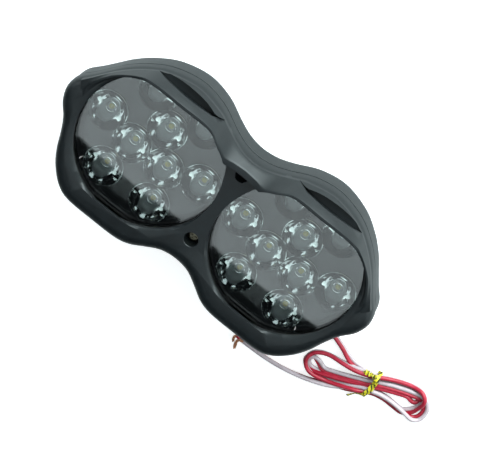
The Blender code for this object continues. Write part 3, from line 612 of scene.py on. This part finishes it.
def front_bezel(outline):
    """Outer body and visors, with windows, cover seats, brow pockets, screw hole and slot cut out."""
    section = ((1.8, SEAM_Z), (1.7, SEAM_Z + 0.1), (0.15, SEAM_Z + 0.2), (0.0, SEAM_Z + 0.4), (0.05, 3.2),
               (0.3, 5.0), (0.9, 6.5), (1.9, 7.5), (3.3, 8.15), (5.0, 8.55), (6.2, RIM_Z))
    body = loft("bezel", [at_height(inset(outline, d), z) for d, z in section])
    join(body, visor_solid())
    below = SEAM_Z - 1.0
    above = RIM_Z + 4.0
    for side in (1, -1):
        centre = (side * CHAMBER_X, 0.0)
        cut(body, window_cutter(side))
        pocket = ((0.0, below), (POCKET_RADIUS, below), (POCKET_RADIUS, FLANGE_Z), (0.0, FLANGE_Z))
        cut(body, turned("pocket", pocket, 96, centre))
        cut(body, brow_cutter(side))
    radius = SCREW_HOLE_RADIUS
    well = ((0.0, SCREW_SEAT_Z), (radius, SCREW_SEAT_Z), (radius, RIM_Z - 0.25),
            (radius + 0.25, RIM_Z + 0.05), (radius + 0.25, above), (0.0, above))
    bore = ((0.0, below), (1.8, below), (1.8, 1.6), (0.0, 1.6))
    slot = [Vector(p) for p in SLOT]
    cut(body, turned("hole", well, 48, SCREW_HOLE), turned("hole", bore, 24, SCREW_HOLE),
        prism("slot", slot, 2.0, above, 0.0))
    return body


# ---------------------------------------------------------------- rear housing

HOUSING_BACK_Z = -17.0
REAR_SCREWS = ((86.3, -1.5), (66.0, -37.5))
PIVOT = (0.0, 16.0, -23.5)
LUG_HALF = 7.0
LUG_ROUND = 5.5
GLAND_START = (CHAMBER_X, 0.0, -24.0)
GLAND_ANGLE = -36.0


def rear_housing(outline):
    """Shallow tray with two bowls, the pivot lug, and holes for screws, cross bolt and cable gland."""
    back = HOUSING_BACK_Z
    section = ((4.6, back), (3.3, back + 0.3), (2.3, back + 0.9), (1.5, back + 1.8), (0.9, back + 2.8),
               (0.55, back + 3.9), (0.4, back + 5.0), (0.3, -2.5), (0.45, -2.3), (1.8, -2.2), (1.8, -1.6))
    body = loft("housing", [at_height(inset(outline, d), z) for d, z in section])
    for side in (1, -1):
        profile = ((0.0, -30.0), (24.6, -30.0), (25.5, -29.75), (26.0, -29.0), (29.0, -17.6), (29.6, -17.1),
                   (30.6, -16.8), (30.6, -16.0), (0.0, -16.0))
        join(body, turned("bowl", profile, 96, (side * CHAMBER_X, 0.0)))
    middle, depth = PIVOT[1], -PIVOT[2]
    reach = LUG_ROUND - 0.3
    root = LUG_ROUND + 0.6
    loop = [Vector((16.0, middle - root)), Vector((depth, middle - reach))]
    for i in range(1, 24):
        angle = math.pi * (i / 24 - 0.5)
        loop.append(Vector((depth + reach * math.cos(angle), middle + reach * math.sin(angle))))
    loop += [Vector((depth, middle + reach)), Vector((16.0, middle + root))]
    join(body, turn_to_x(prism("lug", loop, -LUG_HALF, LUG_HALF), (0.0, 0.0, 0.0)))
    cavity = [at_height(inset(outline, d), z) for d, z in ((3.4, -15.0), (2.8, -14.2), (2.8, -0.6))]
    cut(body, loft("cavity", cavity))
    screw_bore = ((0.0, back - 1.0), (3.1, back - 1.0), (3.1, back + 3.0), (1.8, back + 3.0), (1.8, -5.0),
                  (0.0, -5.0))
    for place in [(side * x, y) for side in (1, -1) for x, y in REAR_SCREWS]:
        cut(body, turned("bore", screw_bore, 32, place))
    bolt_bore = ((0.0, -9.0), (2.8, -9.0), (2.8, 9.0), (0.0, 9.0))
    cut(body, turn_to_x(turned("bore", bolt_bore, 32), PIVOT))
    hole = turned("gland_hole", ((0.0, 20.0), (2.9, 20.0), (2.9, 32.0), (0.0, 32.0)), 32)
    start = Matrix.Translation(-row_point((0.0, 0.0, 0.0)))
    swing = Matrix.Rotation(math.radians(GLAND_ANGLE), 4, "Z")
    lay_flat = Matrix.Rotation(math.pi / 2, 4, "Y")
    hole.data.transform(Matrix.Translation(row_point(GLAND_START)) @ swing @ lay_flat @ start)
    cut(body, hole)
    return body


# ---------------------------------------------------------------- windows and optics

COVER_RADIUS = 38.9             # of the domed part
COVER_DOME = 1.4


def clear_cover(name, side):
    """Slightly domed disc with a rounded edge."""
    profile = []
    count = 22
    for i in range(count + 1):
        share = i / count
        profile.append((COVER_RADIUS * share, 5.95 + COVER_DOME * (1.0 - share * share)))
    profile += [(39.3, 5.93), (39.6, 5.8), (39.8, 5.5), (39.8, 4.6), (39.5, 4.25)]
    for i in range(count, -1, -1):
        share = i / count
        profile.append((COVER_RADIUS * share, 4.2 + COVER_DOME * (1.0 - share * share)))
    return turned(name, profile, 128, (side * CHAMBER_X, 0.0), 40.0)


WALL_TOP_Z = -1.55
WALL_FOOT_Z = -9.9
WALL_TIP_Z = -11.96             # where the wall's parabola would close
WALL_CURVE = 9.84               # radius squared per millimetre above that tip


def lens_profile():
    """Collimator: flat face with a rounded rim, parabolic wall, foot, and a shallow cavity over the LED."""
    profile = [(0.0, 0.0), (9.5, 0.0), (9.9, -0.05), (10.25, -0.22), (10.5, -0.55), (10.6, -0.95),
               (10.6, -1.45), (10.3, WALL_TOP_Z)]
    for i in range(1, 15):
        z = WALL_TOP_Z - (WALL_TOP_Z - WALL_FOOT_Z) * i / 14
        profile.append((math.sqrt(WALL_CURVE * (z - WALL_TIP_Z)), z))
    profile += [(4.3, WALL_FOOT_Z), (2.7, -9.8), (2.5, -9.1)]
    for i in range(1, 5):
        share = 1.0 - i / 4
        profile.append((2.4 * share, -9.05 + 0.35 * (1.0 - share * share)))
    return profile


def lens_array(name, side):
    """Thin round carrier with nine collimators moulded on."""
    centre = (side * CHAMBER_X, 0.0)
    carrier = ((0.0, -1.6), (37.4, -1.6), (37.6, -1.4), (37.6, -0.9), (37.4, -0.7), (0.0, -0.7))
    body = turned(name, carrier, 96, centre)
    for x, y in lens_places():
        combine(body, [turned("lens", lens_profile(), 48, (centre[0] + x, centre[1] + y))], "UNION")
    return body


def split_faces(obj, low, index):
    """Gives faces that look up and lie above the given height another of the object's materials."""
    height = row_point((0.0, 0.0, low)).z
    for face in obj.data.polygons:
        if face.normal.z > 0.95 and face.center.z > height:
            face.material_index = index


def lens_holder(name, side):
    """Black plate under the carrier, with a hole round each collimator and a notch for the link lead."""
    centre = (side * CHAMBER_X, 0.0)
    plate = ((0.0, -7.4), (37.0, -7.4), (37.0, -11.2), (38.0, -11.2), (38.0, -6.3), (37.9, -6.2),
             (0.0, -6.2))
    body = turned(name, plate, 96, centre)
    for x, y in lens_places():
        place = (centre[0] + x, centre[1] + y)
        cut(body, turned("hole", ((0.0, -8.4), (7.8, -8.4), (7.8, -5.2), (0.0, -5.2)), 40, place))
    ends = sorted((side * 2.0, side * 12.0))
    cut(body, box("notch", (ends[0], 10.6, -12.2), (ends[1], 14.4, -8.6)))
    return body


LED_HALF = 2.3
LED_CORNER = 0.35
LED_BASE_Z = -11.3
DOME_Z = -10.6


def led(name, place):
    """Square package with rounded corners, and a low round dome that is the phosphor patch."""
    reach = LED_HALF - LED_CORNER
    loop = []
    for sx, sy, start in ((1, -1, -90), (1, 1, 0), (-1, 1, 90), (-1, -1, 180)):
        for i in range(4):
            a = math.radians(start + 30 * i)
            loop.append(Vector((place[0] + sx * reach + LED_CORNER * math.cos(a),
                                place[1] + sy * reach + LED_CORNER * math.sin(a))))
    body = loft(name, [at_height(loop, LED_BASE_Z), at_height(loop, -10.75),
                       at_height(inset(loop, 0.12), -10.65)])
    profile = [(1.55, -10.9), (1.55, DOME_Z)]
    for i in range(1, 7):
        a = math.radians(15 * i)
        profile.append((1.5 * math.cos(a) if i < 6 else 0.0, DOME_Z + 0.45 * math.sin(a)))
    dome = turned("dome", [(0.0, -10.9)] + profile, 24, place)
    join(body, dome)
    return body


# ---------------------------------------------------------------- lead, with Z = 0 on the floor

CORE_RADIUS = 1.1
CORE_OFFSET = 1.05              # of each core from the middle of the flat twin lead
# x, y, z of the twin's middle, and its roll: 90 has the red core on top, 0 has it on the left
TWIN_ROUTE = (
    (68.8, -19.6, 6, 90), (72.5, -22.3, 5.6, 90), (77, -25.5, 4.6, 90), (82, -28.9, 3.2, 90),
    (86.5, -31.6, 2.4, 90), (91, -33.2, 2.15, 90), (95, -34.6, 2.15, 95), (99, -36.3, 2.1, 110),
    (103, -37.6, 1.9, 135), (108, -37.7, 1.3, 165), (113, -37.4, 1.15, 178), (119, -36.1, 1.1, 180),
    (125, -33.3, 1.1, 180), (131, -30.4, 1.1, 180), (136, -28.4, 1.1, 180), (139.4, -28.2, 1.1, 178),
    (141.5, -30, 1.15, 165), (141.4, -32.5, 1.4, 140), (139, -33.9, 1.8, 110), (135, -33.4, 2.15, 108),
    (130, -35.6, 2.15, 110), (125, -38, 2.15, 110), (119, -41.1, 2.15, 110), (113, -44.3, 2.15, 110),
    (108, -47.1, 2.15, 110), (102, -50.1, 2.1, 105), (96, -52.8, 1.9, 95), (91, -54.6, 1.5, 60),
    (87.4, -54.9, 1.2, 30), (85, -53.2, 1.1, 0), (84.7, -50.6, 1.1, -50), (86.6, -48.8, 1.15, -100),
    (89.8, -49.4, 1.3, -140), (94.5, -50.9, 1.7, -168), (100, -48.7, 2.2, -175), (105, -46.1, 2.7, -178),
    (110, -43.3, 3.2, -180), (115, -40.6, 3.3, -180), (119, -38, 3.3, -180), (125, -34.7, 3.3, -180),
    (131, -31.9, 3.3, -180), (136, -29.9, 3.3, -178), (140.5, -28.7, 3.1, -170), (144.2, -29.7, 1.9, -160),
    (146.8, -32.9, 1.5, -152), (147.4, -36.7, 1.5, -150), (146.6, -39.6, 1.8, -135),
    (144, -41.2, 2.9, -95), (140, -40.7, 4.3, -65), (135, -40.3, 4.3, -60), (130, -40.4, 4.1, -60),
    (125, -41, 4.1, -60), (120.5, -42.5, 4.1, -55), (116.5, -44.7, 4, -10), (112, -47.4, 3.9, 50),
    (107, -50.5, 3.1, 75), (102, -53.3, 2.2, 80), (97, -55.3, 2.15, 95), (92, -55.9, 3.9, 105),
    (88, -55.5, 4.2, 105), (84.8, -53, 4.2, 98), (83.6, -49.3, 4.2, 92), (85, -45.6, 3.7, 84),
    (88.6, -43.2, 2.9, 75), (93, -41.8, 2.6, 72), (99, -40.4, 3.6, 85), (105, -38.8, 4.3, 105),
    (111, -36.7, 4.4, 115), (117, -33.8, 4.3, 95), (121, -31.9, 3.4, 80), (125, -30.4, 2.3, 76),
    (130, -28.1, 2.15, 76), (135, -26.3, 2.5, 78), (139, -24.9, 4.6, 80), (142, -26.1, 5.6, 85),
    (143.5, -29.2, 5, 85), (143.2, -34.1, 2.8, 80), (141.8, -38.2, 1.5, 40), (138.5, -41.9, 1.1, 5),
    (134, -42.3, 1.1, 0), (128, -42.3, 1.1, 0), (122, -43.5, 1.1, 0), (117, -46.1, 1.1, 0),
    (112, -49.6, 1.1, -15), (107, -52.9, 1.7, -60), (100, -56.7, 2.1, -95), (92, -60.7, 2.15, -75),
    (84, -63.5, 2.15, -66), (75, -65.6, 2.15, -65), (65, -66.8, 2.15, -65), (54, -67.2, 2.15, -70))

RED_END = ((52.2, -67.7, 1.2), (50.6, -67.3, 1.7), (49.4, -66.8, 2.3))
RED_STRANDS = ((49.6, -66.9, 2.2), (48.8, -68.2, 2.0), (49.0, -70.0, 1.4), (50.2, -71.9, 0.9))
WHITE_STRANDS = ((53.7, -67.2, 3.1), (51.8, -68.0, 2.6), (51.2, -70.0, 1.6), (51.8, -72.4, 0.9),
                 (53.0, -75.0, 0.7))
WIRE_RADIUS = 0.24
WIRE_COUNT = 7


def roll_frames(steps):
    """Middle, left and up of the twin lead along its route, with its roll in radians."""
    line = through([Vector(p) for p in TWIN_ROUTE], steps)
    frames = []
    for i, place in enumerate(line):
        middle = Vector(place[:3])
        ahead = Vector(line[min(i + 1, len(line) - 1)][:3]) - Vector(line[max(i - 1, 0)][:3])
        left = Vector((-ahead.y, ahead.x, 0.0)).normalized()
        up = ahead.normalized().cross(left)
        frames.append((middle, left, up, math.radians(place[3])))
    return frames


def core_line(side, steps=5):
    """Places down the middle of one core; side is 1 for red and -1 for white."""
    line = []
    for middle, left, up, roll in roll_frames(steps):
        place = middle + (left * math.cos(roll) + up * math.sin(roll)) * CORE_OFFSET * side
        place.z = max(place.z, CORE_RADIUS)
        line.append(place)
    return line


def core_curve(name, line):
    """One round core as a curve with a bevel and closed ends."""
    curve = bpy.data.curves.new(name, "CURVE")
    curve.dimensions = "3D"
    curve.bevel_depth = CORE_RADIUS * MM
    curve.bevel_resolution = 5
    curve.use_fill_caps = True
    curve.resolution_u = 1
    spline = curve.splines.new("POLY")
    spline.points.add(len(line) - 1)
    for point, place in zip(spline.points, line):
        point.co = (*row_point(place, 0.0), 1.0)
    obj = bpy.data.objects.new(name, curve)
    scene.collection.objects.link(obj)
    return obj


def sweep(name, line, ring_at, base=0.0, angle=35.0):
    """A closed solid along a line; ring_at(share, left, up) gives the offsets of one section."""
    rings = []
    for i, place in enumerate(line):
        ahead = (line[min(i + 1, len(line) - 1)] - line[max(i - 1, 0)]).normalized()
        side = Vector((-ahead.y, ahead.x, 0.0))
        side = side.normalized() if side.length > 1e-4 else Vector((1.0, 0.0, 0.0))
        up = ahead.cross(side)
        rings.append([place + offset for offset in ring_at(i / (len(line) - 1), side, up)])
    return loft(name, rings, base, angle)


def strands(name, places, phase):
    """Bare copper: thin wires twisted loosely round the given line."""
    line = through([Vector(p) for p in places], 10)
    parts = []
    chance = random.Random(phase)
    for k in range(WIRE_COUNT):
        spread = 0.0 if k == 0 else 0.52
        flare = chance.uniform(0.7, 1.7)
        turn = 2 * math.pi * k / (WIRE_COUNT - 1)
        wire = []
        for i, place in enumerate(line):
            share = i / (len(line) - 1)
            a = turn + 5.0 * share
            reach = spread * (1.0 + (flare - 1.0) * share ** 2)
            wire.append(Vector((place.x + reach * math.cos(a), place.y + reach * math.sin(a),
                                max(place.z + 0.4 * reach * math.sin(2 * a), 0.3))))
        wire = wire[:len(wire) - chance.randrange(0, 5)]

        def ring(share, side, up):
            return [(side * math.cos(a) + up * math.sin(a)) * WIRE_RADIUS
                    for a in [2 * math.pi * n / 8 for n in range(8)]]
        parts.append(sweep(name, wire, ring))
    return merge(parts)


def merge(parts):
    """Joins meshes into the first one, without a Boolean."""
    bm = bmesh.new()
    for part in parts:
        bm.from_mesh(part.data)
    bm.to_mesh(parts[0].data)
    bm.free()
    for part in parts[1:]:
        bpy.data.meshes.remove(part.data)
    smooth(parts[0], 35.0)
    return parts[0]


TIE_TWIST = ((110.2, -35.2, 5.8), (112.0, -34.7, 6.6), (114.0, -34.2, 7.0), (116.0, -33.9, 7.2),
             (117.6, -35.2, 7.4), (118.3, -37.4, 7.0))
TIE_BAND = ((117.6, -33.0, 6.2), (118.2, -35.0, 7.1), (118.7, -38.4, 6.7), (118.9, -41.2, 6.9),
            (118.4, -43.8, 6.7), (117.3, -46.2, 5.5), (116.1, -48.3, 3.0), (114.6, -50.6, 1.3),
            (113.2, -53.2, 0.8), (112.2, -55.0, 0.6))
TIE_RING = ((117.6, -48.2, 3.0), (117.6, -47.0, 5.4), (117.8, -44.0, 6.5), (118.0, -40.0, 6.6),
            (117.8, -36.0, 6.7), (117.6, -33.4, 6.5), (117.4, -32.2, 4.6), (117.3, -32.0, 2.0),
            (117.3, -33.6, 0.45), (117.4, -40.0, 0.45), (117.5, -46.6, 0.45), (117.6, -48.2, 1.3))


def strip_ring(width, thickness, turns, phase):
    """Section of a flat strip that makes the given turns about its line."""
    def ring(share, side, up):
        a = phase + 2 * math.pi * turns * share
        wide = side * math.cos(a) + up * math.sin(a)
        thin = up * math.cos(a) - side * math.sin(a)
        return [wide * x + thin * y for x, y in
                ((width / 2, -thickness / 2), (width / 2, thickness / 2), (-width / 2, thickness / 2),
                 (-width / 2, -thickness / 2))]
    return ring


def twist_tie():
    """Yellow and black strip: a ring round the hank, a twisted end on top and a free end."""
    parts = []
    for phase in (0.0, math.pi):
        line = through([Vector(p) for p in TIE_TWIST], 10)
        wound = []
        for i, place in enumerate(line):
            a = phase + 2 * math.pi * 2.6 * i / (len(line) - 1)
            wound.append(place + Vector((0.25 * math.cos(a), 0.55 * math.cos(a), 0.55 * math.sin(a))))
        parts.append(sweep("tie", wound, strip_ring(1.7, 0.45, 2.6, phase), 0.0, 30.0))
    band = through([Vector(p) for p in TIE_BAND], 8)
    parts.append(sweep("tie", band, strip_ring(1.9, 0.45, 0.35, 0.2), 0.0, 30.0))
    loop = through([Vector(p) for p in TIE_RING], 6, True)
    parts.append(sweep("tie", loop, strip_ring(2.2, 0.4, 0.0, 0.0), 0.0, 30.0))
    return merge(parts)


# ---------------------------------------------------------------- build

make_camera()
make_world()
make_floor()
area_light("softbox", 270.0, 73.0, 1.5, (2.2, 0.72), 4.6, (0.88, 1.0, 1.03))
area_light("key", 85.0, 30.0, 1.6, (1.6, 1.0), 38.0, (0.86, 1.0, 1.02))
area_light("side_left", 180.0, 30.0, 1.5, (0.4, 0.6), 2.4, (0.88, 1.0, 1.05))
area_light("side_right", 0.0, 30.0, 1.5, (0.4, 0.6), 2.2, (0.88, 1.0, 1.05))
scene.view_settings.view_transform = "Standard"
scene.cycles.max_bounces = 18
scene.cycles.transmission_bounces = 16
scene.cycles.glossy_bounces = 8
scene.cycles.transparent_max_bounces = 24

shell = grained("shell_black", (0.0008, 0.0022, 0.0032), (0.002, 0.0045, 0.006), (0.40, 0.49), 350.0,
                bump=0.35, bump_scale=1800.0, specular=0.6)
holder_black = grained("holder_black", (0.012, 0.013, 0.013), (0.018, 0.019, 0.019), (0.3, 0.4), 400.0)
rubber = grained("rubber_black", (0.012, 0.012, 0.012), (0.02, 0.02, 0.02), (0.7, 0.85), 600.0, 0.2)
cover_clear = clear_window("clear_cover", 1.86)
optic_top = optic("clear_optic_face", False)
optic_wall = optic("clear_optic", True)
board_white = grained("board_white", (0.36, 0.40, 0.415), (0.45, 0.49, 0.50), (0.35, 0.45), 300.0)
aluminium = grained("aluminium", (0.55, 0.56, 0.57), (0.66, 0.67, 0.68), (0.3, 0.45), 500.0, bump=0.1,
                    bump_scale=3000.0, metallic=1.0)
steel = grained("zinc_steel", (0.16, 0.145, 0.11), (0.24, 0.22, 0.16), (0.3, 0.45), 500.0, bump=0.1,
                bump_scale=3000.0, metallic=1.0)
package = grained("led_package", (0.7, 0.7, 0.66), (0.8, 0.8, 0.76), (0.35, 0.5), 900.0)
phosphor = grained("led_phosphor", (0.95, 0.80, 0.22), (1.0, 0.88, 0.34), (0.25, 0.35), 1500.0)
board_green = grained("driver_green", (0.02, 0.13, 0.05), (0.04, 0.19, 0.08), (0.35, 0.5), 700.0)
component = grained("component_dark", (0.03, 0.03, 0.035), (0.06, 0.06, 0.065), (0.4, 0.55), 800.0)
lead_red = grained("lead_red", (0.36, 0.010, 0.028), (0.46, 0.018, 0.045), (0.28, 0.38), 300.0)
lead_pale = grained("lead_pale", (0.50, 0.40, 0.43), (0.58, 0.48, 0.51), (0.28, 0.38), 300.0)
tie_yellow = striped("tie_yellow", (0.72, 0.62, 0.03), (0.04, 0.04, 0.02), 0.0017, 0.2)
copper = grained("copper", (0.60, 0.27, 0.15), (0.78, 0.40, 0.24), (0.25, 0.4), 2500.0, metallic=0.35)

by_slot = {
    "shell": shell, "holder": holder_black, "rubber": rubber, "clear": cover_clear, "optic": optic_wall,
    "board": board_white, "aluminium": aluminium, "led": package, "steel": steel, "driver": board_green,
    "component": component, "lead_red": lead_red, "lead_pale": lead_pale, "tie": tie_yellow,
    "copper": copper,
}
for part in frame["record"]["subparts"]:
    node = nodes[part["node"]]
    node.data.materials.clear()
    node.data.materials.append(by_slot[part["material_slot"]])

outline = lamp_outline()
settle(front_bezel(outline), shell, "shell", "front_bezel")
settle(rear_housing(outline), shell, "shell", "rear_housing")
for side, side_name in ((1, "right"), (-1, "left")):
    settle(clear_cover(f"cover_{side_name}", side), cover_clear, "clear", f"clear_cover_{side_name}")
    array = lens_array(f"optics_{side_name}", side)
    settle(array, (optic_wall, optic_top), "optic", f"lens_array_{side_name}")
    split_faces(array, -0.8, 1)
    settle(lens_holder(f"holder_{side_name}", side), holder_black, "holder", f"lens_holder_{side_name}")
    for i, (x, y) in enumerate(lens_places(), 1):
        piece = led(f"emitter_{side_name}_{i}", (side * CHAMBER_X + x, y))
        settle(piece, (package, phosphor), "led", f"led_{side_name}_{i}")
        for face in piece.data.polygons:
            if face.center.z > row_point((0.0, 0.0, DOME_Z - 0.02)).z:
                face.material_index = 1

red_line = core_line(1)
red_line = red_line[:-1] + through([red_line[-1]] + [Vector(p) for p in RED_END], 4)
white_line = core_line(-1)
red_core = core_curve("cord_red", red_line)
white_core = core_curve("cord_white", white_line)
settle(red_core, lead_red, "lead_red", "lead_out", "lead_hank")
settle(white_core, lead_pale, "lead_pale", "lead_tail")
red_copper = settle(strands("strands_red", RED_STRANDS, 3), copper, "copper", "bare_end_red")
white_copper = settle(strands("strands_white", WHITE_STRANDS, 5), copper, "copper", "bare_end_white")
tie = settle(twist_tie(), tie_yellow, "tie", "twist_tie")
